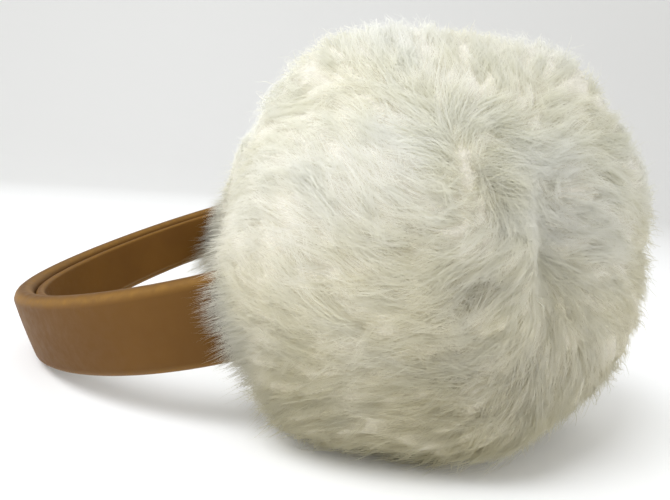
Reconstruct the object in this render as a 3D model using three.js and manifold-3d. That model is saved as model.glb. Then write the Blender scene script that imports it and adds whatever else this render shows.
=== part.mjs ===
// Fur earmuffs: two fur balls on an open head band of padded leather. Millimetres, +Z up.
// They lie on their side. The band's crown points to -X and the ears' axis runs along Y. Both balls
// and the lower edge of the crown touch the ground at Z = 0, below the middle of the whole outline.
import * as THREE from 'three';
import { mergeVertices } from 'three/addons/utils/BufferGeometryUtils.js';
import Module from 'manifold-3d';

const wasm = await Module();
wasm.setup();

// Head band. Both straps follow the outer strap's outer face, and the lining sits inside it.
const bandWidth = 24;
const outerThickness = 5.8;         // padded
const outerEdgeRadius = 2.7;
const liningWidth = 19;
const liningThickness = 2.8;
const liningEdgeRadius = 1.2;
const clearance = 0.3;              // air between pieces that touch
const halfArc = 158;                // from the crown to a strap's end, along the outer face
const bandTilt = THREE.MathUtils.degToRad(19.2);
const bandSteps = 48;
const cornerSegments = 2;

// How tightly the outer face bends, from the crown to an end. Curvature changes evenly between rows.
const archRadii = [
  { arc: 0, radius: 60.6 },
  { arc: 33, radius: 88 },
  { arc: 65, radius: 112.5 },
  { arc: 98, radius: 85 },
  { arc: 131, radius: 59.3 },
  { arc: 164, radius: 46 },
];

// Fur balls, measured to the outside of the hair. forward is from the crown to a ball's middle,
// side is across the head, and rise is from the ground. A boxiness of 2 is an ellipsoid.
const balls = [
  {
    name: 'left_fur_ball', forward: 118.5, side: -76, rise: 52.5,
    length: 117, thickness: 81, height: 113, boxiness: 2.3, turn: 0,
  },
  {
    name: 'right_fur_ball', forward: 126, side: 77, rise: 50.5,
    length: 107, thickness: 79, height: 108, boxiness: 2.3, turn: 2.2,
  },
];
const ballSegments = 40;
const ballRings = 26;

// Swells of the fur round a ball: lobes of them about the ears' axis, as a part of the radius.
const swells = [
  { lobes: 2, amount: 0.014, phase: 0.6 },
  { lobes: 3, amount: 0.018, phase: 2.1 },
  { lobes: 5, amount: 0.012, phase: 0.9 },
  { lobes: 7, amount: 0.008, phase: 4.0 },
];

const leather = new THREE.MeshStandardMaterial({ color: '#7d5a30', roughness: 0.55, metalness: 0 });
const liningLeather = new THREE.MeshStandardMaterial({ color: '#6f4c26', roughness: 0.6, metalness: 0 });
const fur = new THREE.MeshStandardMaterial({ color: '#e0ded4', roughness: 1, metalness: 0 });

function curvatureAt(arc) {
  const distance = Math.abs(arc);
  const next = Math.max(1, archRadii.findIndex((row) => row.arc >= distance));
  const [from, to] = [archRadii[next - 1], archRadii[next]];
  const share = (distance - from.arc) / (to.arc - from.arc);
  return THREE.MathUtils.lerp(1 / from.radius, 1 / to.radius, share);
}

// The band's outer face in the XY plane, crown at the origin. Heading grows by curvature x arc.
class ArchCurve extends THREE.Curve {
  constructor(reach) {
    super();
    this.reach = reach;
    this.half = [new THREE.Vector2(0, 0)];
    let heading = 0;
    for (let arc = 0; arc < reach; arc += 1) {
      const step = Math.min(1, reach - arc);
      heading += curvatureAt(arc + step / 2) * step;
      const middle = heading - (curvatureAt(arc + step / 2) * step) / 2;
      const last = this.half[this.half.length - 1];
      const next = new THREE.Vector2(last.x + Math.sin(middle) * step, last.y + Math.cos(middle) * step);
      this.half.push(next);
    }
  }

  getPoint(t, target = new THREE.Vector3()) {
    const arc = (2 * t - 1) * this.reach;
    const place = Math.min(Math.abs(arc), this.reach - 1e-9);
    const index = Math.min(Math.floor(place), this.half.length - 2);
    const span = Math.min(1, this.reach - index);
    const point = this.half[index].clone().lerp(this.half[index + 1], (place - index) / span);
    return target.set(point.x, Math.sign(arc) * point.y, 0);
  }
}

// A strap's section: x runs across the band, and y from the outer face (0) into the head space.
function strapSection(width, outerDepth, thickness, radius) {
  const [halfWidth, top, bottom] = [width / 2, -outerDepth, -outerDepth - thickness];
  const shape = new THREE.Shape();
  shape.moveTo(-halfWidth + radius, bottom);
  shape.lineTo(halfWidth - radius, bottom);
  shape.absarc(halfWidth - radius, bottom + radius, radius, -Math.PI / 2, 0);
  shape.lineTo(halfWidth, top - radius);
  shape.absarc(halfWidth - radius, top - radius, radius, 0, Math.PI / 2);
  shape.lineTo(-halfWidth + radius, top);
  shape.absarc(-halfWidth + radius, top - radius, radius, Math.PI / 2, Math.PI);
  shape.lineTo(-halfWidth, bottom + radius);
  shape.absarc(-halfWidth + radius, bottom + radius, radius, Math.PI, 1.5 * Math.PI);
  return shape;
}

function sweptStrap(section, reach) {
  const settings = { steps: bandSteps, curveSegments: cornerSegments, extrudePath: new ArchCurve(reach) };
  return new THREE.ExtrudeGeometry(section, settings);
}

function toSolid(geometry) {
  const bare = geometry.index ? geometry.clone() : geometry;
  bare.deleteAttribute('normal');
  bare.deleteAttribute('uv');
  const merged = mergeVertices(bare, 1e-4);
  const vertProperties = new Float32Array(merged.attributes.position.array);
  const triVerts = new Uint32Array(merged.index.array);
  return new wasm.Manifold(new wasm.Mesh({ numProp: 3, vertProperties, triVerts }));
}

function toGeometry(solid) {
  const mesh = solid.getMesh();
  const geometry = new THREE.BufferGeometry();
  geometry.setAttribute('position', new THREE.BufferAttribute(mesh.vertProperties, 3));
  geometry.setIndex(new THREE.BufferAttribute(mesh.triVerts, 1));
  geometry.computeVertexNormals();
  return geometry;
}

// A ball round its own middle: a boxy ellipsoid whose radius swells and sinks about the Y axis.
function ballForm(ball) {
  const geometry = new THREE.SphereGeometry(1, ballSegments, ballRings);
  const points = geometry.attributes.position;
  const direction = new THREE.Vector3();
  for (let i = 0; i < points.count; i += 1) {
    direction.fromBufferAttribute(points, i).normalize();
    const along = Math.abs(direction.x / (ball.length / 2)) ** ball.boxiness;
    const across = Math.abs(direction.y / (ball.thickness / 2)) ** ball.boxiness;
    const up = Math.abs(direction.z / (ball.height / 2)) ** ball.boxiness;
    const radius = (along + across + up) ** (-1 / ball.boxiness);
    const angle = Math.atan2(direction.z, direction.x) + ball.turn;
    const rim = Math.hypot(direction.x, direction.z);
    const swell = swells.reduce(
      (sum, row) => sum + row.amount * rim ** row.lobes * Math.cos(row.lobes * angle + row.phase), 1);
    points.setXYZ(i, ...direction.multiplyScalar(radius * swell));
  }
  return geometry;
}

function strapMesh(name, section, material) {
  const mesh = new THREE.Mesh(sweptStrap(section, halfArc), material);
  mesh.name = name;
  return mesh;
}

// The ball as it lies: flat on the ground, with a pocket for the straps' ends.
function ballMesh(ball, pocket) {
  const centre = new THREE.Vector3(ball.forward, ball.side, ball.rise);
  const ground = new THREE.BoxGeometry(400, 400, 100).translate(0, 0, -ball.rise - 50);
  const sleeve = pocket.clone().translate(-centre.x, -centre.y, -centre.z);
  const form = toSolid(ballForm(ball)).subtract(toSolid(ground)).subtract(toSolid(sleeve));
  const mesh = new THREE.Mesh(toGeometry(form), fur);
  mesh.name = ball.name;
  mesh.position.copy(centre);
  return mesh;
}

const liningDepth = outerThickness + clearance;
const bandThickness = liningDepth + liningThickness;
const crownDrop = (bandWidth / 2 - outerEdgeRadius) * Math.cos(bandTilt) + outerEdgeRadius;
const crownRise = crownDrop - outerEdgeRadius * Math.sin(bandTilt);

const liningSection = strapSection(liningWidth, liningDepth, liningThickness, liningEdgeRadius);

const band = new THREE.Group();
band.rotation.y = -bandTilt;
band.position.z = crownRise;
band.add(
  strapMesh('outer_strap', strapSection(bandWidth, 0, outerThickness, outerEdgeRadius), leather),
  strapMesh('inner_strap', liningSection, liningLeather),
);
band.updateMatrix();

const pocketSection = strapSection(
  bandWidth + 2 * clearance, -clearance, bandThickness + 2 * clearance, outerEdgeRadius);
const pocket = sweptStrap(pocketSection, halfArc + clearance).applyMatrix4(band.matrix);

const earmuffs = new THREE.Group();
earmuffs.add(band, ...balls.map((ball) => ballMesh(ball, pocket)));

const outline = new THREE.Box3().setFromObject(earmuffs, true);
const middle = outline.getCenter(new THREE.Vector3());
earmuffs.position.set(-middle.x, -middle.y, -outline.min.z);

export default earmuffs;
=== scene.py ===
# Fur earmuffs: two balls of long ivory fur on an open band of padded tan leather, lying on their side.
import math

import bpy
import numpy as np
from mathutils import Matrix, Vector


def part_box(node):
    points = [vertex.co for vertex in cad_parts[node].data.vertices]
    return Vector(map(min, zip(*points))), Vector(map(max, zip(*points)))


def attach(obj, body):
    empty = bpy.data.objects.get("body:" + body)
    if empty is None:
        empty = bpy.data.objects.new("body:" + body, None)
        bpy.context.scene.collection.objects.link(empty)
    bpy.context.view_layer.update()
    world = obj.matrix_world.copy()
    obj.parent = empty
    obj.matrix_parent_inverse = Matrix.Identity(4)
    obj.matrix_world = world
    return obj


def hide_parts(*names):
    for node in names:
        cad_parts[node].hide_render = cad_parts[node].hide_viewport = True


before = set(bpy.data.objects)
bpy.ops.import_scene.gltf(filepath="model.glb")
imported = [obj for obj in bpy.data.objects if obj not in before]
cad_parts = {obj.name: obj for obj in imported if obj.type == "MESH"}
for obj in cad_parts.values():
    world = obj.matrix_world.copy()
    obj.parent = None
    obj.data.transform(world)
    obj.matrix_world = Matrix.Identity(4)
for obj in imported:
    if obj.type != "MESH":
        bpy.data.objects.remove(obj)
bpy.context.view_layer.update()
mm = 0.001
dice = np.random.default_rng(2417)   # every random draw comes from here, in order


def toLinear(hexColour):
    # sRGB hex to linear: c/12.92 below 0.04045, else ((c + 0.055) / 1.055) ^ 2.4
    parts = np.array([int(hexColour[i:i + 2], 16) for i in (1, 3, 5)]) / 255
    linear = np.where(parts <= 0.04045, parts / 12.92, ((parts + 0.055) / 1.055) ** 2.4)
    return (*linear.tolist(), 1.0)


def unit(vectors):
    # each vector over its own length
    return vectors / np.maximum(np.linalg.norm(vectors, axis=-1, keepdims=True), 1e-12)


def addNode(material, kind, links=(), stops=(), **settings):
    # links: (input name, output socket); stops: (place, colour) of a ramp; settings: node attributes, or
    # inputs given as in_Name
    node = material.node_tree.nodes.new(kind)
    for index, (place, colour) in enumerate(stops):
        points = node.color_ramp.elements
        point = points[index] if index < len(points) else points.new(place)
        point.position = place
        point.color = toLinear(colour)
    for key, value in settings.items():
        if key.startswith("in_"):
            node.inputs[key[3:].replace("_", " ")].default_value = value
        else:
            setattr(node, key, value)
    for name, socket in links:
        material.node_tree.links.new(socket, node.inputs[name])
    return node


def newMaterial(name):
    # a material and its Principled shader
    material = bpy.data.materials.new(name)
    material.use_nodes = True
    return material, material.node_tree.nodes["Principled BSDF"]


def buildPiece(name, points, corners, sizes, material, node, attributes=None, uv=None):
    # a mesh from whole arrays. corners: vertex of each face corner; sizes: corners of each face
    mesh = bpy.data.meshes.new(name)
    mesh.vertices.add(len(points))
    mesh.vertices.foreach_set("co", np.ascontiguousarray(points, np.float32).ravel())
    mesh.loops.add(len(corners))
    mesh.loops.foreach_set("vertex_index", np.ascontiguousarray(corners, np.int32))
    mesh.polygons.add(len(sizes))
    starts = np.concatenate([[0], np.cumsum(sizes)[:-1]])
    mesh.polygons.foreach_set("loop_start", starts.astype(np.int32))
    mesh.polygons.foreach_set("use_smooth", np.ones(len(sizes), bool))
    for key, values in (attributes or {}).items():
        layer = mesh.attributes.new(key, "FLOAT", "POINT")
        layer.data.foreach_set("value", np.ascontiguousarray(values, np.float32).ravel())
    if uv is not None:
        layer = mesh.uv_layers.new(name="OFBake")
        layer.data.foreach_set("uv", np.ascontiguousarray(uv, np.float32).ravel())
    mesh.update(calc_edges=True)
    mesh.validate()
    mesh.materials.append(material)
    piece = bpy.data.objects.new(name, mesh)
    bpy.context.scene.collection.objects.link(piece)
    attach(piece, "root")
    if node:
        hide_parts(node)
    return piece


def tubeFaces(rows, columns):
    # grid whose columns close in a ring: each face joins a point, the next in its ring, and the two after
    cell = np.arange(rows - 1)[:, None] * columns
    here, after = np.arange(columns)[None, :], (np.arange(columns)[None, :] + 1) % columns
    quads = np.stack([cell + here, cell + after, cell + columns + after, cell + columns + here], -1)
    return quads.reshape(-1, 4)


def placed(axes, place):
    # the matrix that puts an object's own axes along these three, at this place
    matrix = np.eye(4)
    matrix[:3, :3] = np.stack(axes, 1)
    matrix[:3, 3] = place
    return Matrix(matrix.tolist())


# Camera, light and floor

view = {
    "place": (-44.4, -209.6, 68.3),  # mm
    "heading": 18.2,                 # degrees from +Y towards +X
    "down": 7.8,
    "roll": 4.6,
    "lens": 28.65,                   # mm
}


def makeCamera():
    # ahead by heading and down, right level with the floor, then both turned by roll about ahead
    heading, down, roll = (math.radians(view[key]) for key in ("heading", "down", "roll"))
    level = math.cos(down)
    ahead = np.array([math.sin(heading) * level, math.cos(heading) * level, -math.sin(down)])
    right = unit(np.cross(ahead, [0, 0, 1]))
    up = np.cross(right, ahead)
    turnedRight = math.cos(roll) * right + math.sin(roll) * up
    turnedUp = math.cos(roll) * up - math.sin(roll) * right
    data = bpy.data.cameras.new("camera")
    data.sensor_width = 36   # full frame
    data.lens = view["lens"]
    data.clip_start = 0.01
    camera = bpy.data.objects.new("camera", data)
    camera.matrix_world = placed([turnedRight, turnedUp, -ahead], np.array(view["place"]) * mm)
    bpy.context.scene.collection.objects.link(camera)
    bpy.context.scene.camera = camera


studio = {
    "floor": "#f4f4f2",
    "lampColour": "#f6f9ff",
    "worldStrength": 0.76,
    # place and aim in metres, size of the soft box, watts
    "lamps": [
        ("keyLamp", (-0.55, -0.30, 1.05), (0.0, -0.02, 0.05), 0.6, 9.5),
        ("sideLamp", (-0.9, -0.05, 0.40), (0.0, 0.0, 0.05), 0.5, 2.2),
        ("fillLamp", (0.7, -0.7, 0.5), (0.0, 0.0, 0.05), 0.8, 1.2),
        ("backLamp", (0.2, 0.9, 0.8), (0.0, 0.0, 0.05), 0.7, 1.0),
    ],
}


def makeStudio():
    # white world and soft boxes, each turned so that its back points from its aim to its place
    scene = bpy.context.scene
    scene.view_settings.view_transform = "Standard"
    scene.world = bpy.data.worlds.new("softWorld")
    scene.world.use_nodes = True
    background = scene.world.node_tree.nodes["Background"]
    background.inputs["Color"].default_value = (1, 1, 1, 1)
    background.inputs["Strength"].default_value = studio["worldStrength"]
    for name, place, aim, size, watts in studio["lamps"]:
        data = bpy.data.lights.new(name, "AREA")
        data.size = size
        data.energy = watts
        data.color = toLinear(studio["lampColour"])[:3]
        lamp = bpy.data.objects.new(name, data)
        back = unit(np.array(place) - np.array(aim))
        side = unit(np.cross([0, 0, 1], back))
        lamp.matrix_world = placed([side, np.cross(back, side), back], place)
        scene.collection.objects.link(lamp)
    # matt white card: bends up behind the earmuffs so that no horizon shows
    reach, flat, radius = 3.0, 1.2, 0.8
    angles = np.linspace(0, math.pi / 2, 13)
    bend = zip(flat + radius * np.sin(angles), radius * (1 - np.cos(angles)))
    profile = [(-reach, 0.0), *bend, (flat + radius, reach)]
    corners = np.array([(x, y, z) for y, z in profile for x in (-reach, reach)])
    rows = np.arange(len(profile) - 1)[:, None] * 2
    faces = (rows + np.array([0, 1, 3, 2])).tolist()
    mesh = bpy.data.meshes.new("paleFloor")
    mesh.from_pydata(corners.tolist(), [], faces)
    mesh.polygons.foreach_set("use_smooth", np.ones(len(faces), bool))
    card, shader = newMaterial("matt white card")
    shader.inputs["Base Color"].default_value = toLinear(studio["floor"])
    shader.inputs["Roughness"].default_value = 0.9
    mesh.materials.append(card)
    floor = bpy.data.objects.new("paleFloor", mesh)
    scene.collection.objects.link(floor)


makeCamera()
makeStudio()
print("camera and studio ready")


# Head band, sizes in mm

band = {
    "width": 24.0,
    "thickness": 5.8,       # padded
    "edgeRadius": 2.75,
    "liningWidth": 19.0,
    "liningThickness": 2.8,
    "liningEdgeRadius": 1.3,
    "clearance": 0.3,
    "halfArc": 158.0,
    "tilt": 19.2,           # degrees, crown down
    "pillow": 0.35,         # how far the padding crowns the faces
    # mm along the band from its crown, and the radius it bends to there
    "arcs": (0, 33, 65, 98, 131, 164),
    "radii": (60.6, 88, 112.5, 85, 59.3, 46),
    "steps": 180,           # rows along the band
    "waves": [(0.10, 17.0, 0.6), (0.07, 7.3, 2.0)],   # of the outer face: mm, mm of arc per radian, phase
    "waveDepth": 0.6,       # how deep the waves reach
}


def archLine():
    # outer face of the band in its own plane: heading grows by curvature x arc, place by cos and sin of it
    arc = np.arange(0, band["halfArc"] + 0.5, 1.0)
    curvature = np.interp(arc, band["arcs"], 1 / np.array(band["radii"], float))
    heading = np.concatenate([[0], np.cumsum((curvature[1:] + curvature[:-1]) / 2)])
    middle = (heading[1:] + heading[:-1]) / 2
    forward = np.concatenate([[0], np.cumsum(np.sin(middle))])
    side = np.concatenate([[0], np.cumsum(np.cos(middle))])
    return arc, forward, side, heading


archArc, archForward, archSide, archHeading = archLine()


def archPlace(arc):
    # forward, side and inward direction of the outer face at a signed arc
    size, sign = np.abs(arc), np.where(arc < 0, -1.0, 1.0)
    forward, side, heading = (np.interp(size, archArc, line) for line in (archForward, archSide, archHeading))
    return forward, sign * side, np.cos(heading), -sign * np.sin(heading)


def tilted(forward, side, across):
    # the band's plane leans down to the crown; rows of x, y, z before the band is moved to its place
    tilt = math.radians(band["tilt"])
    x = forward * math.cos(tilt) - across * math.sin(tilt)
    z = forward * math.sin(tilt) + across * math.cos(tilt)
    return np.stack(np.broadcast_arrays(x, side, z), -1)


def strapPoint(arc, inward, across):
    # point of the outer face, moved inward along its own normal, then tilted
    forward, side, inForward, inSide = archPlace(arc)
    return tilted(forward + inward * inForward, side + inward * inSide, across)


def padSection(width, depth, thickness, radius, cornerSteps=7, faceSteps=9):
    # closed section, anticlockwise seen against the arc: quarter circles joined by gently crowned faces.
    # the edge mask is sine squared of the way round each quarter circle, and 0 on the faces; it makes the
    # rounded edges paler, partly as rubbed wear and partly as painted highlight
    across, inward, edgeWearAndHighlight = [], [], []
    corners = [(1, -1, -90), (1, 1, 0), (-1, 1, 90), (-1, -1, 180)]
    for index, (sideSign, depthSign, start) in enumerate(corners):
        angle = np.radians(start + np.linspace(0, 90, cornerSteps))
        across.append(sideSign * (width / 2 - radius) + radius * np.cos(angle))
        inward.append(thickness / 2 + depthSign * (thickness / 2 - radius) + radius * np.sin(angle))
        edgeWearAndHighlight.append(np.sin(np.linspace(0, math.pi, cornerSteps)) ** 2)
        nextSide = corners[(index + 1) % 4][0]
        steps = np.linspace(0, 1, faceSteps + 2)[1:-1] if nextSide != sideSign else np.empty(0)
        across.append(sideSign * (width / 2 - radius) * (1 - 2 * steps))
        inward.append(thickness / 2 + depthSign * thickness / 2 + 0 * steps)
        edgeWearAndHighlight.append(0 * steps)
    across, inward, edgeWearAndHighlight = (np.concatenate(row) for row in (across, inward, edgeWearAndHighlight))
    crowning = band["pillow"] * (1 - (2 * across / width) ** 2)
    fromMiddle = inward - thickness / 2
    onFace = np.abs(fromMiddle) > thickness * 0.45
    inward = inward + np.sign(fromMiddle) * crowning * onFace
    return across, inward + depth, edgeWearAndHighlight


def strapShape(width, depth, thickness, radius):
    # the padded section carried along the arch and capped; soft waves swell and sink its outer face
    across, inward, edgeWearAndHighlight = padSection(width, depth, thickness, radius)
    arcs = np.linspace(-band["halfArc"], band["halfArc"], band["steps"] + 1)
    wave = sum(amount * np.sin(arcs / pitch + phase) for amount, pitch, phase in band["waves"])
    depths = inward[None, :] + wave[:, None] * (inward[None, :] < depth + band["waveDepth"])
    grid = strapPoint(arcs[:, None], depths, across[None, :])
    rows, columns = grid.shape[:2]
    quads = tubeFaces(rows, columns)
    caps = np.concatenate([np.arange(columns)[::-1], (rows - 1) * columns + np.arange(columns)])
    corners = np.concatenate([quads.ravel(), caps])
    sizes = np.concatenate([np.full(len(quads), 4), [columns, columns]])
    return grid.reshape(-1, 3), corners, sizes, np.tile(edgeWearAndHighlight, rows)


# Full-grain cow leather, tanned tan-brown and lightly waxed: soft broad highlight, fine pebbled grain,
# paler along the rounded padded edges, partly rubbed wear and partly painted highlight. Real grain is 0.3 to
# 0.5 mm; it is drawn at 0.8 mm to show.
def tanLeather(name, dark, body, wornAndHighlight):
    material, shader = newMaterial(name)
    place = addNode(material, "ShaderNodeTexCoord").outputs["Object"]
    cloud = addNode(material, "ShaderNodeTexNoise", [("Vector", place)],
                    in_Scale=1 / (22 * mm), in_Detail=3.0)
    colour = addNode(material, "ShaderNodeValToRGB", [("Fac", cloud.outputs["Fac"])],
                     [(0.3, dark), (0.7, body)])
    # rubbed wear and painted highlight: the rounded edges mix towards the paler colour in patches
    edgeWearAndHighlight = addNode(material, "ShaderNodeAttribute", attribute_name="edgeWearAndHighlight")
    speck = addNode(material, "ShaderNodeTexNoise", [("Vector", place)],
                    in_Scale=1 / (2.5 * mm), in_Detail=4.0)
    patchy = addNode(material, "ShaderNodeMath", [(0, edgeWearAndHighlight.outputs["Fac"]), (1, speck.outputs["Fac"])],
                     operation="MULTIPLY")
    wearAndHighlight = addNode(material, "ShaderNodeMix", [("Factor", patchy.outputs[0]), (6, colour.outputs["Color"])],
                   data_type="RGBA")
    wearAndHighlight.inputs[7].default_value = toLinear(wornAndHighlight)
    material.node_tree.links.new(wearAndHighlight.outputs[2], shader.inputs["Base Color"])
    gloss = addNode(material, "ShaderNodeMapRange", [("Value", speck.outputs["Fac"])],
                    in_From_Min=0.3, in_From_Max=0.7, in_To_Min=0.5, in_To_Max=0.62)
    material.node_tree.links.new(gloss.outputs[0], shader.inputs["Roughness"])
    pebble = addNode(material, "ShaderNodeTexVoronoi", [("Vector", place)], in_Scale=1 / (0.8 * mm))
    crease = addNode(material, "ShaderNodeTexNoise", [("Vector", place)],
                     in_Scale=1 / (5 * mm), in_Detail=5.0)
    grain = addNode(material, "ShaderNodeBump", [("Height", pebble.outputs["Distance"])],
                    in_Strength=0.10, in_Distance=0.12 * mm)
    folds = addNode(material, "ShaderNodeBump",
                    [("Height", crease.outputs["Fac"]), ("Normal", grain.outputs[0])],
                    in_Strength=0.25, in_Distance=0.5 * mm)
    material.node_tree.links.new(folds.outputs[0], shader.inputs["Normal"])
    shader.inputs["Specular IOR Level"].default_value = 0.16
    return material


# the third colour of each leather is its paler edge: rubbed wear and painted highlight
outerLeather = tanLeather("waxed tan strap leather", "#5e3e12", "#664517", "#8e682c")
liningLeather = tanLeather("matt tan lining leather", "#603e10", "#6a4615", "#876226")

liningDepth = band["thickness"] + band["clearance"]
bandThickness = liningDepth + band["liningThickness"]
outerPoints, outerCorners, outerSizes, outerEdgeWearAndHighlight = strapShape(
    band["width"], 0.0, band["thickness"], band["edgeRadius"])
liningPoints, liningCorners, liningSizes, liningEdgeWearAndHighlight = strapShape(
    band["liningWidth"], liningDepth, band["liningThickness"], band["liningEdgeRadius"])
# the band's place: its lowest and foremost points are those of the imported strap
strapLow = np.array(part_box("outer_strap")[0]) / mm
outerLow = outerPoints.min(0)
bandShift = np.array([strapLow[0] - outerLow[0], 0.0, strapLow[2] - outerLow[2]])
outerStrap = buildPiece("outerStrap", (outerPoints + bandShift) * mm, outerCorners, outerSizes,
                        outerLeather, "outer_strap", {"edgeWearAndHighlight": outerEdgeWearAndHighlight})
innerStrap = buildPiece("innerStrap", (liningPoints + bandShift) * mm, liningCorners, liningSizes,
                        liningLeather, "inner_strap", {"edgeWearAndHighlight": liningEdgeWearAndHighlight})
print("straps ready")


# Fur

# Noises over a ball: fineness is radians of wave per unit of direction, amount is mm for lumps and radians
# for sway.
noises = {
    "lumps": {"seed": 31, "waves": 7, "fineness": 10.0, "amount": 1.0},
    "sway": {"seed": 11, "waves": 7, "fineness": 5.0, "amount": 0.45},
    "fineSway": {"seed": 12, "waves": 7, "fineness": 12.0, "amount": 0.25},
    "fineLocks": {"seed": 41, "waves": 14, "fineness": 62.0, "amount": 1.0},
}

# Swells of the fur round a ball: lobes of them about the ears' axis, as a part of the radius.
swells = [(2, 0.014, 0.6), (3, 0.018, 2.1), (5, 0.012, 0.9), (7, 0.008, 4.0)]

# Each ball: sizes of its outer form in mm. facing is the bearing of the combed face, in degrees from the
# ears' axis towards the crown. strokes: where a stroke of the comb is on that face (across, up; radius 1),
# which way it goes, and how far it reaches. dents: the same places, 1 on the combed face and -1 on the one
# behind it, how wide, and mm in or out.
balls = {
    "left": {
        "node": "left_fur_ball", "forward": 118.5, "side": -76.0, "rise": 52.5,
        "length": 117.0, "thickness": 81.0, "height": 113.0, "boxiness": 2.3, "turn": 0.0, "facing": 30.0,
        "strokes": [
            (-0.65, 0.05, -1.0, -0.12, 0.30), (-0.50, -0.45, -1.0, -0.30, 0.28),
            (-0.45, 0.50, -0.9, 0.30, 0.28),
            (-0.10, -0.10, -1.0, -0.05, 0.25), (-0.05, 0.30, -0.8, 0.25, 0.22), (0.00, 0.85, -0.2, 1.0, 0.28),
            (0.12, 0.58, 0.9, -0.35, 0.16), (0.38, 0.40, 0.6, -0.8, 0.14), (0.46, 0.10, 0.0, -1.0, 0.16),
            (0.46, -0.22, 0.05, -1.0, 0.16), (0.15, -0.35, -1.0, -0.40, 0.20),
            (0.40, -0.60, -0.35, -1.0, 0.22),
            (0.05, -0.75, -0.8, -0.55, 0.25), (0.78, 0.15, 1.0, 0.15, 0.22), (0.72, -0.35, 0.5, -0.8, 0.22),
            (0.65, 0.60, 0.7, 0.6, 0.28), (-0.30, -0.85, -0.7, -0.7, 0.25),
        ],
        "dents": [
            (0.44, 0.15, 1, 0.10, 3.0), (0.47, -0.05, 1, 0.10, 3.0), (0.48, -0.25, 1, 0.11, 3.4),
            (0.35, 0.38, 1, 0.10, 2.6), (0.64, 0.20, 1, 0.13, -6.0), (0.62, 0.0, 1, 0.12, -5.0),
            (0.68, -0.2, 1, 0.14, -3.5), (0.60, 0.42, 1, 0.12, -3.5), (0.18, -0.14, 1, 0.09, -3.5),
            (0.27, -0.16, 1, 0.07, -2.0), (0.15, -0.26, 1, 0.10, 1.5), (-0.05, 0.10, 1, 0.12, -1.2),
            (-0.48, -0.72, 1, 0.20, 6.5), (0.0, -0.78, 1, 0.22, 6.0), (0.42, -0.72, 1, 0.20, 6.5),
            (0.50, 0.80, 1, 0.20, -3.0),
        ],
    },
    "right": {
        "node": "right_fur_ball", "forward": 126.0, "side": 77.0, "rise": 50.5,
        "length": 107.0, "thickness": 79.0, "height": 108.0, "boxiness": 2.3, "turn": 2.2, "facing": 20.0,
        "strokes": [
            (-0.65, 0.05, -1.0, -0.20, 0.30), (-0.45, -0.55, -0.9, -0.50, 0.28),
            (-0.45, 0.50, -0.9, 0.30, 0.28),
            (0.00, 0.10, -0.6, 0.30, 0.25), (0.05, 0.80, 0.2, 1.0, 0.28), (0.35, 0.35, 0.8, 0.4, 0.20),
            (0.30, -0.25, 0.3, -1.0, 0.22), (0.10, -0.70, -0.3, -1.0, 0.25), (0.75, -0.10, 1.0, -0.3, 0.25),
        ],
        "dents": [
            (0.15, 0.15, 1, 0.12, -3.0), (0.30, -0.10, 1, 0.12, -2.0), (-0.35, 0.40, 1, 0.15, 1.0),
            (0.45, 0.45, 1, 0.15, 2.0), (-0.40, -0.45, 1, 0.15, 1.5), (-0.86, -0.42, -1, 0.24, 8.0),
            (-0.72, 0.36, 1, 0.32, -5.5),
        ],
    },
}


def ballFrame(ball):
    # the combed face's own axes: outward to the side and a little to the crown, across to the back, up
    outSign = math.copysign(1.0, ball["side"])
    facing = math.radians(ball["facing"])
    outward = np.array([-math.sin(facing), outSign * math.cos(facing), 0.0])
    across = np.array([math.cos(facing), outSign * math.sin(facing), 0.0])
    return outward, across, np.array([0.0, 0.0, 1.0])


def ballCentre(ball):
    # its own place, moved forward with the band
    return np.array([ball["forward"] + bandShift[0], ball["side"], ball["rise"]])


def faceWay(ball, across, up, side=1):
    # direction from the middle of the ball to a place on its combed face
    axes = ballFrame(ball)
    return side * math.sqrt(max(0.0, 1 - across ** 2 - up ** 2)) * axes[0] + across * axes[1] + up * axes[2]


def nearness(way, spot, wide):
    # bell curve: e ^ -(distance ^ 2 / (2 x width ^ 2)), with the distance on a ball of radius 1
    return np.exp(-((way - spot) ** 2).sum(-1) / (2 * wide ** 2))


def ballHalves(ball):
    return np.array([ball["length"], ball["thickness"], ball["height"]]) / 2


def ballRadius(ball, way):
    # boxy ellipsoid: (sum of |way / half size| ^ boxiness) ^ (-1 / boxiness), times the swells, plus the
    # dents and lumps
    radius = (np.abs(way / ballHalves(ball)) ** ball["boxiness"]).sum(-1) ** (-1 / ball["boxiness"])
    angle = np.arctan2(way[..., 2], way[..., 0]) + ball["turn"]
    rim = np.hypot(way[..., 0], way[..., 2])
    swell = 1 + sum(amount * rim ** lobes * np.cos(lobes * angle + phase) for lobes, amount, phase in swells)
    relief = sum(rise * nearness(way, faceWay(ball, x, y, side), wide)
                 for x, y, side, wide, rise in ball["dents"])
    return radius * swell + relief + smoothNoise(way, **noises["lumps"])


def ballNormal(ball, way):
    # gradient of the boxy ellipsoid: way ^ (boxiness - 1) / half size ^ boxiness, with way's own signs
    power = ball["boxiness"]
    return unit(np.sign(way) * np.abs(way) ** (power - 1) / ballHalves(ball) ** power)


def smoothNoise(way, seed, waves, fineness, amount):
    # sum of sines along random directions over the ball, from about -amount to amount
    own = np.random.default_rng(seed)
    total = 0
    for _ in range(waves):
        direction = own.normal(size=3)
        direction *= fineness * own.uniform(0.7, 1.4) / np.linalg.norm(direction)
        total = total + np.sin(way @ direction + own.uniform(0, 2 * math.pi))
    return amount * (total / math.sqrt(waves))


# The lie of the hair where no stroke reaches: its parts outward and up, and its weight against a stroke's 1.
comb = {"lie": (-0.9, -0.35), "pull": 0.10}


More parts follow.
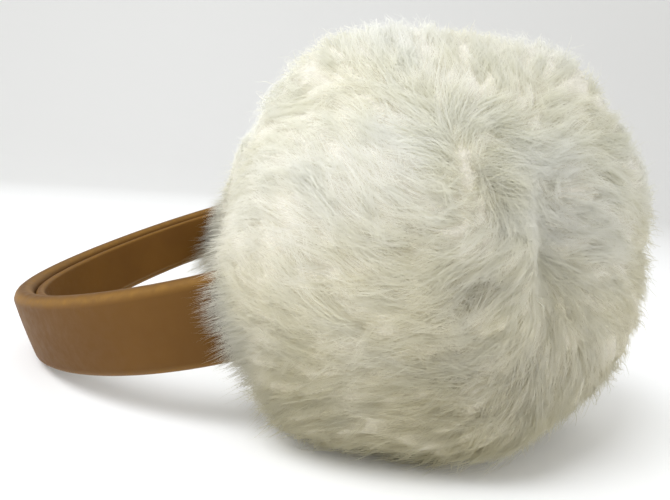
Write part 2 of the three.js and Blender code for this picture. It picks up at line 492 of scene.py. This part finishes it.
def combing(ball, way):
    # which way the hair lies: the strokes, each fading with distance, over a lie from face to rim and down
    outward, across, up = ballFrame(ball)
    outPart, upPart = comb["lie"]
    lie = np.broadcast_to(outPart * outward + upPart * up, way.shape) * comb["pull"]
    for x, y, goX, goY, reach in ball["strokes"]:
        weight = nearness(way, faceWay(ball, x, y), reach)
        lie = lie + weight[..., None] * unit(goX * across + goY * up)
    lie = unit(lie - (lie * way).sum(-1, keepdims=True) * way)
    bend = smoothNoise(way, **noises["sway"]) + smoothNoise(way, **noises["fineSway"])
    return unit(lie * np.cos(bend)[..., None] + np.cross(way, lie) * np.sin(bend)[..., None])


def streaks(ball, way, steps=7, reach=0.16):
    # noise averaged along the lie of the hair, so that its swells draw out into locks
    total, here = 0, way
    for _ in range(steps):
        total = total + smoothNoise(here, **noises["fineLocks"])
        here = unit(here + combing(ball, here) * reach / steps)
    return total / math.sqrt(steps)


underhair = {
    "depth": 1.6,      # mm below the outer form of the ball
    "relief": 0.4,     # mm, of its fine locks
    "floor": 0.4,      # mm above the ground
    "steps": 110,      # rows from pole to pole; twice as many round
}


def undercoatShape(ball):
    # dense short fur: the ball's radius less a depth, ruffled into fine locks that run with the lie of the
    # hair; rings round the ears' axis, closed by a fan at each end
    steps = underhair["steps"]
    around = np.linspace(0, 2 * math.pi, 2 * steps + 1)[:-1]
    down = np.linspace(0, math.pi, steps + 1)[1:-1]
    turn, fall = np.meshgrid(around, down)
    way = np.stack([np.sin(fall) * np.cos(turn), np.cos(fall), np.sin(fall) * np.sin(turn)], -1)
    way = np.concatenate([way.reshape(-1, 3), [[0, 1, 0], [0, -1, 0]]])
    depth = underhair["depth"] - underhair["relief"] * streaks(ball, way)
    points = ballCentre(ball) + way * (ballRadius(ball, way) - depth)[:, None]
    points[:, 2] = np.maximum(points[:, 2], underhair["floor"])
    rows, columns = len(down), len(around)
    quads = tubeFaces(rows, columns)
    top, bottom, last = rows * columns, rows * columns + 1, (rows - 1) * columns
    ring, ringAfter = np.arange(columns), (np.arange(columns) + 1) % columns
    first = np.stack([np.full(columns, top), ringAfter, ring], -1)
    final = np.stack([np.full(columns, bottom), last + ring, last + ringAfter], -1)
    corners = np.concatenate([quads.ravel(), first.ravel(), final.ravel()])
    sizes = np.concatenate([np.full(len(quads), 4), np.full(2 * columns, 3)])
    return points, corners, sizes


# Hair beside a strap, in mm: the gap to the leather, and how much further some hairs stand off, by a ruffle
# of rate radians per mm, so that they don't lie as a sheet.
strapHair = {"gap": 0.4, "ruffle": 0.8, "rate": 9}


def clearOfStrap(points):
    # hair that would pass through a strap lies on its nearer face instead: offset is the distance in from
    # the band's outer face, taken at the nearest sample of the arch
    local = points - bandShift
    tilt = math.radians(band["tilt"])
    forward = local[..., 0] * math.cos(tilt) + local[..., 2] * math.sin(tilt)
    across = -local[..., 0] * math.sin(tilt) + local[..., 2] * math.cos(tilt)
    gap = strapHair["gap"]
    near = (np.abs(across) < band["width"] / 2 + gap) & (forward < archForward[-1])
    rows = tuple(np.argwhere(near).T)
    side = local[..., 1][rows]
    firstSample = 40   # mm of arc at the crown that no hair reaches
    samples = np.stack([archForward, archSide], 1)[firstSample:]
    spot = np.stack([forward[rows], np.abs(side)], 1)
    best = ((spot[:, None, :] - samples[None]) ** 2).sum(-1).argmin(1) + firstSample
    heading = archHeading[best]
    fromForward, fromSide = spot[:, 0] - archForward[best], spot[:, 1] - archSide[best]
    offset = fromForward * np.cos(heading) - fromSide * np.sin(heading)
    inside = (offset > -gap) & (offset < bandThickness + gap)
    stand = gap + strapHair["ruffle"] * np.abs(np.sin(strapHair["rate"] * side))
    move = np.where(inside, np.where(offset < bandThickness / 2, -stand, bandThickness + stand) - offset, 0.0)
    result = points.copy()
    result[rows] += tilted(move * np.cos(heading), -np.sign(side) * move * np.sin(heading), 0 * move)
    return result


hair = {
    "stations": 4,             # points along a hair
    "width": (0.08, 0.15),     # mm, coarser than real hair so that it shows
    "taper": ((0, 0.35, 1), (0.7, 1.0, 0.1)),   # parts of the length, and of the width there
    "twist": 0.3,              # radians about the hair's own line
    "density": (0.62, 0.38),   # share of hair kept: at the rim, and what is added outward or lost inward
    "rootDepth": 2.5,          # mm
    "share": (0.6, 1.06),      # a hair's length as a part of its lock's
    "tipStray": 0.6,           # mm
    "flyaway": 0.04,           # share of hairs that stand off
    "flyawayLift": (0.8, 3.2),
    "risePower": 0.6,          # lower: the hair reaches the surface sooner
    "meanRadius": 55.0,        # mm, turns a distance over the ball into radians
    "floorGap": (0.25, 0.5),   # mm, least height over the ground and its spread
}


def ribbonShape(paths, normals, widths, twist):
    # each hair is a flat ribbon that narrows to a point: paths (hairs, stations, 3), closed by one triangle
    hairs, stations = paths.shape[:2]
    ahead = np.empty_like(paths)
    ahead[:, 1:-1] = paths[:, 2:] - paths[:, :-2]
    ahead[:, 0] = paths[:, 1] - paths[:, 0]
    ahead[:, -1] = paths[:, -1] - paths[:, -2]
    ahead = unit(ahead)
    sideways = unit(np.cross(ahead, normals))
    lifted = np.cross(sideways, ahead)
    turned = sideways * np.cos(twist)[:, None, None] + lifted * np.sin(twist)[:, None, None]
    taper = np.interp(np.linspace(0, 1, stations), *hair["taper"])
    half = turned * (widths[:, None] * taper[None, :] / 2)[..., None]
    body = np.stack([paths[:, :-1] - half[:, :-1], paths[:, :-1] + half[:, :-1]], 2).reshape(hairs, -1, 3)
    points = np.concatenate([body, paths[:, -1:]], 1)
    shading = np.concatenate([np.repeat(normals[:, :-1], 2, axis=1), normals[:, -1:]], 1)
    count = points.shape[1]
    steps = np.arange(stations - 2)[:, None] * 2
    one = np.concatenate([(steps + np.array([0, 1, 3, 2])).ravel(), [count - 3, count - 2, count - 1]])
    corners = (np.arange(hairs)[:, None] * count + one[None]).ravel()
    sizes = np.tile(np.array([4] * (stations - 2) + [3]), hairs)
    # one cell of the map for each hair, its length up the cell
    grid = math.ceil(math.sqrt(hairs))
    column, row = np.arange(hairs) % grid, np.arange(hairs) // grid
    u = np.concatenate([np.tile([0.2, 0.8], stations - 1), [0.5]])
    v = np.concatenate([np.repeat(np.linspace(0.1, 0.9, stations)[:-1], 2), [0.9]])
    cellU, cellV = (column[:, None] + u[None]) / grid, (row[:, None] + v[None]) / grid
    uv = np.stack([cellU, cellV], -1)[:, one].reshape(-1, 2)
    along = np.concatenate([np.repeat(np.linspace(0, 1, stations)[:-1], 2), [1.0]])
    return points.reshape(-1, 3), corners, sizes, uv, np.tile(along, hairs), shading.reshape(-1, 3)


def scatter(ball, count):
    # random directions, denser on the outer side than on the side that faces the head
    outward = ballFrame(ball)[0]
    atRim, more = hair["density"]
    way = unit(dice.normal(size=(3 * count, 3)))
    kept = dice.uniform(size=len(way)) < atRim + more * (way @ outward)
    return way[kept][:count]


# Coats of a ball, sizes in mm: clumps is locks of hair, hairs is hairs in a lock, swing is how far locks
# stray from the comb in radians, curl is how far they bend from root to tip, tip is their height over the
# ball's form, radius is a lock's own at its root, closing is how far it has drawn together at its tip, and
# frizz is how far a hair strays from its lock.
coats = [
    {"clumps": 1180, "hairs": 32, "length": (12.0, 25.0), "swing": 0.26, "curl": 0.7, "tip": (-0.9, 0.9),
     "radius": 3.2, "closing": 0.6, "frizz": 0.5},
    {"clumps": 3140, "hairs": 12, "length": (6.0, 14.0), "swing": 0.55, "curl": 1.3, "tip": (-0.6, 1.3),
     "radius": 2.0, "closing": 0.5, "frizz": 0.6},
]


def coatPaths(ball, coat):
    # locks: a guide marches over the ball with the comb; each hair keeps beside it and closes in to its tip
    stations = hair["stations"]
    t = np.linspace(0, 1, stations)
    way = scatter(ball, coat["clumps"])
    clumps, hairs = len(way), coat["hairs"]
    length = dice.uniform(*coat["length"], size=clumps)
    swing = dice.normal(0, coat["swing"], size=clumps)
    curl = dice.normal(0, coat["curl"], size=clumps)
    # a lock lies evenly to both sides of its own place, so that no parting is left bare
    backSteps = 3
    for _ in range(backSteps):
        way = unit(way - combing(ball, way) * (length / (2 * backSteps) / ballRadius(ball, way))[:, None])
    guide = [way]
    for k in range(stations - 1):
        here = guide[-1]
        lie = combing(ball, here)
        bend = swing + curl * (t[k] - 0.3)
        lie = lie * np.cos(bend)[:, None] + np.cross(here, lie) * np.sin(bend)[:, None]
        step = length / (stations - 1) / ballRadius(ball, here)
        guide.append(unit(here + lie * step[:, None]))
    guide = np.repeat(np.stack(guide, 1), hairs, 0)
    total = clumps * hairs
    loose = dice.normal(size=(total, 3))
    loose *= (coat["radius"] * np.sqrt(dice.uniform(0, 1, total)) / np.linalg.norm(loose, axis=1))[:, None]
    closing = 1 - coat["closing"] * t ** 1.3
    share = dice.uniform(*hair["share"], total)
    wave = dice.normal(0, coat["frizz"], size=(total, stations, 3)) * t[None, :, None]
    at = np.clip(t[None, :] * share[:, None], 0, 1) * (stations - 1)
    low = np.minimum(at.astype(int), stations - 2)
    mix = (at - low)[..., None]
    rows = np.arange(total)[:, None]
    along = guide[rows, low] * (1 - mix) + guide[rows, low + 1] * mix
    offset = loose[:, None, :] * closing[None, :, None] + wave
    ways = unit(along + offset / hair["meanRadius"])
    tip = np.repeat(dice.uniform(*coat["tip"], size=clumps), hairs) + dice.normal(0, hair["tipStray"], total)
    stray = dice.uniform(size=total) < hair["flyaway"]
    tip = np.where(stray, tip + dice.uniform(*hair["flyawayLift"], total), tip)
    root = -hair["rootDepth"]
    height = root + (tip - root)[:, None] * np.sin(t * math.pi / 2)[None, :] ** hair["risePower"]
    paths = ballCentre(ball) + ways * (ballRadius(ball, ways) + height)[..., None]
    least, spread = hair["floorGap"]
    floor = least + spread * dice.uniform(size=(total, 1))
    paths[..., 2] = np.maximum(paths[..., 2], floor)
    tone = np.repeat(dice.uniform(size=clumps), hairs) * 0.6 + dice.uniform(size=total) * 0.4
    return clearOfStrap(paths), ballNormal(ball, ways), tone


# Tints that multiply the fur's colour: painted shade, greyer and warmer from the ground up to the height in
# mm, and a creamier tone in broad random patches.
shadeAndCreamTints = {
    # painted shade, from the ground up to the height
    "low": [(0.0, "#d8d3c0"), (0.5, "#fbf9f4"), (1.0, "#ffffff")],
    "height": 80.0,
    "cream": [(0.38, "#ffffff"), (0.62, "#faf9f3")],
}


def paintedLowShadeAndCream(material, colour):
    # painted shade: the hair underneath is a little greyer and warmer, most at the ground, where shade falls;
    # broad random patches are creamier
    place = addNode(material, "ShaderNodeTexCoord").outputs["Object"]
    height = addNode(material, "ShaderNodeSeparateXYZ", [(0, place)]).outputs["Z"]
    share = addNode(material, "ShaderNodeMapRange", [("Value", height)],
                    in_From_Max=shadeAndCreamTints["height"] * mm)
    # painted shade: this ramp darkens the fur towards the ground
    paintedShadeRamp = addNode(material, "ShaderNodeValToRGB", [("Fac", share.outputs[0])], shadeAndCreamTints["low"])
    withPaintedShade = addNode(material, "ShaderNodeVectorMath", [(0, colour), (1, paintedShadeRamp.outputs["Color"])],
                     operation="MULTIPLY")
    cloud = addNode(material, "ShaderNodeTexNoise", [("Vector", place)],
                    in_Scale=1 / (24 * mm), in_Detail=2.0)
    cream = addNode(material, "ShaderNodeValToRGB", [("Fac", cloud.outputs["Fac"])], shadeAndCreamTints["cream"])
    final = addNode(material, "ShaderNodeVectorMath", [(0, withPaintedShade.outputs[0]), (1, cream.outputs["Color"])],
                    operation="MULTIPLY")
    return final.outputs[0]


# Long undyed sheep or rabbit hair, ivory: very soft and matt, nearly white at the tips, and a little darker
# and warmer at the roots as painted shade of the coat's depth.
# Light passes through the hair as well as off it. A real hair is 0.02 mm; each ribbon stands for a fine wisp.
def ivoryFur(name, root, body, tip):
    material, shader = newMaterial(name)
    along = addNode(material, "ShaderNodeAttribute", attribute_name="along")
    tone = addNode(material, "ShaderNodeAttribute", attribute_name="tone")
    # painted shade: the ramp darkens each hair towards its root, deep in the coat
    colour = addNode(material, "ShaderNodeValToRGB", [("Fac", along.outputs["Fac"])],
                     [(0.0, root), (0.35, body), (1.0, tip)])
    shade = addNode(material, "ShaderNodeMapRange", [("Value", tone.outputs["Fac"])],
                    in_To_Min=0.95, in_To_Max=1.01)
    mixed = addNode(material, "ShaderNodeVectorMath", [(0, colour.outputs["Color"]), (1, shade.outputs[0])],
                    operation="MULTIPLY")
    final = paintedLowShadeAndCream(material, mixed.outputs[0])
    material.node_tree.links.new(final, shader.inputs["Base Color"])
    shader.inputs["Roughness"].default_value = 0.8
    shader.inputs["Specular IOR Level"].default_value = 0.1
    through = addNode(material, "ShaderNodeBsdfTranslucent", [("Color", final)])
    both = addNode(material, "ShaderNodeMixShader", [(1, shader.outputs[0]), (2, through.outputs[0])],
                   in_Fac=0.6)
    output = material.node_tree.nodes["Material Output"]
    material.node_tree.links.new(both.outputs[0], output.inputs["Surface"])
    return material


# Short dense underhair of the same ivory, given a greyer colour than the hair as painted shade of the depth
# between the locks: matt and soft at a grazing view, seen only between the locks.
# A real underhair is 0.02 mm or less; its fuzz is drawn at 0.9 mm to show.
def denseFur(name, deep, pale):
    material, shader = newMaterial(name)
    place = addNode(material, "ShaderNodeTexCoord").outputs["Object"]
    lock = addNode(material, "ShaderNodeTexNoise", [("Vector", place)], in_Scale=1 / (4 * mm), in_Detail=6.0)
    colour = addNode(material, "ShaderNodeValToRGB", [("Fac", lock.outputs["Fac"])],
                     [(0.3, deep), (0.7, pale)])
    material.node_tree.links.new(paintedLowShadeAndCream(material, colour.outputs["Color"]), shader.inputs["Base Color"])
    fuzz = addNode(material, "ShaderNodeTexNoise", [("Vector", place)],
                   in_Scale=1 / (0.9 * mm), in_Detail=4.0)
    bump = addNode(material, "ShaderNodeBump", [("Height", fuzz.outputs["Fac"])], in_Strength=0.6,
                   in_Distance=0.5 * mm)
    material.node_tree.links.new(bump.outputs[0], shader.inputs["Normal"])
    shader.inputs["Roughness"].default_value = 0.95
    shader.inputs["Sheen Weight"].default_value = 0.3
    return material


# the first colour is the roots' painted shade
hairFinish = ivoryFur("combed ivory fur", "#edebe0", "#f8f8f1", "#fdfdfb")
# painted shade: both undercoat colours are greyer than the hair's, standing in for the shade between the
# locks
shadedUndercoatFinish = denseFur("dense ivory undercoat in painted shade", "#d4d0c3", "#dedad0")


def makeHair(name, paths, normals, tone):
    # ribbons that take the ball's own normals, so that they shade as one soft coat
    widths = dice.uniform(*hair["width"], size=len(paths))
    twist = dice.normal(0, hair["twist"], len(paths))
    points, corners, sizes, uv, along, shading = ribbonShape(paths, normals, widths, twist)
    piece = buildPiece(name, points * mm, corners, sizes, hairFinish, None,
                       {"along": along, "tone": np.repeat(tone, len(points) // len(paths))}, uv)
    piece.data.normals_split_custom_set_from_vertices(shading.astype(np.float32))
    return piece


# Loose hair over the straps, lengths in mm
wisps = {
    "hairs": 5200,
    "locks": 320,
    "spread": 0.24,             # of the roots, as a part of the ball
    "length": {"left": (5.0, 12.0), "right": (7.0, 15.0)},
    "lowGain": {"left": 0.0, "right": 1.3},   # how much longer the hair is below the strap's middle
    "sag": 0.10,                # drop at the tip, as a part of the length
    "rootDepth": 3.0,
    "outward": 0.35,            # lean away from the ball
    "lockStray": 0.22,
    "hairSpread": 0.035,
    "hairStray": 0.07,
    "frizz": 0.35,
    "floor": 0.3,
    "lookBack": 12,             # mm of band outside the ball that give the strap's direction
    "lowLimit": 1.2,            # spreads below the strap's middle past which lowGain grows no more
}


def wispPaths(ball, reach, lowGain):
    # loose hair where the strap enters the ball: each runs from its root along the strap, plus its leans,
    # and hangs by sag x length x t^2
    stations = hair["stations"]
    t = np.linspace(0, 1, stations)
    sign = math.copysign(1.0, ball["side"])
    line = strapPoint(sign * archArc, bandThickness / 2, 0.0) + bandShift
    fromMiddle = line - ballCentre(ball)
    ways = unit(fromMiddle)
    inside = np.linalg.norm(fromMiddle, axis=1) < ballRadius(ball, ways)
    entry = int(np.argmax(inside))
    ahead = unit(line[entry - wisps["lookBack"]] - line[entry])
    total, locks = wisps["hairs"], wisps["locks"]
    lockOf = np.arange(total) % locks
    way = unit(ways[entry] + dice.normal(0, wisps["spread"], size=(locks, 3)))[lockOf]
    way = unit(way + dice.normal(0, wisps["hairSpread"], size=(total, 3)))
    start = ballCentre(ball) + way * (ballRadius(ball, way) - wisps["rootDepth"])[:, None]
    lockLean = dice.normal(0, wisps["lockStray"], size=(locks, 3))[lockOf]
    hairLean = dice.normal(0, wisps["hairStray"], size=(total, 3))
    lean = ahead + wisps["outward"] * way + lockLean + hairLean
    length = dice.uniform(*reach, size=locks)[lockOf] * dice.uniform(0.6, 1.0, total)
    below = np.clip((ways[entry][2] - way[:, 2]) / wisps["spread"], 0, wisps["lowLimit"])
    length = length * (1 + lowGain * below)
    paths = start[:, None, :] + unit(lean)[:, None, :] * (length[:, None] * t)[..., None]
    paths = paths + dice.normal(0, wisps["frizz"], size=paths.shape) * t[None, :, None]
    paths[..., 2] -= wisps["sag"] * length[:, None] * t ** 2
    paths[..., 2] = np.maximum(paths[..., 2], wisps["floor"])
    normals = np.repeat(way[:, None, :], stations, 1)
    return clearOfStrap(paths), normals, dice.uniform(size=total)


for name, ball in balls.items():
    points, corners, sizes = undercoatShape(ball)
    undercoat = buildPiece(name + "Undercoat", points * mm, corners, sizes,
                           shadedUndercoatFinish, ball["node"])
    for layer, coat in enumerate(coats):
        makeHair(f"{name}Coat{layer + 1}", *coatPaths(ball, coat))
    makeHair(name + "StrapWisps", *wispPaths(ball, wisps["length"][name], wisps["lowGain"][name]))
    print(name, "ball ready")
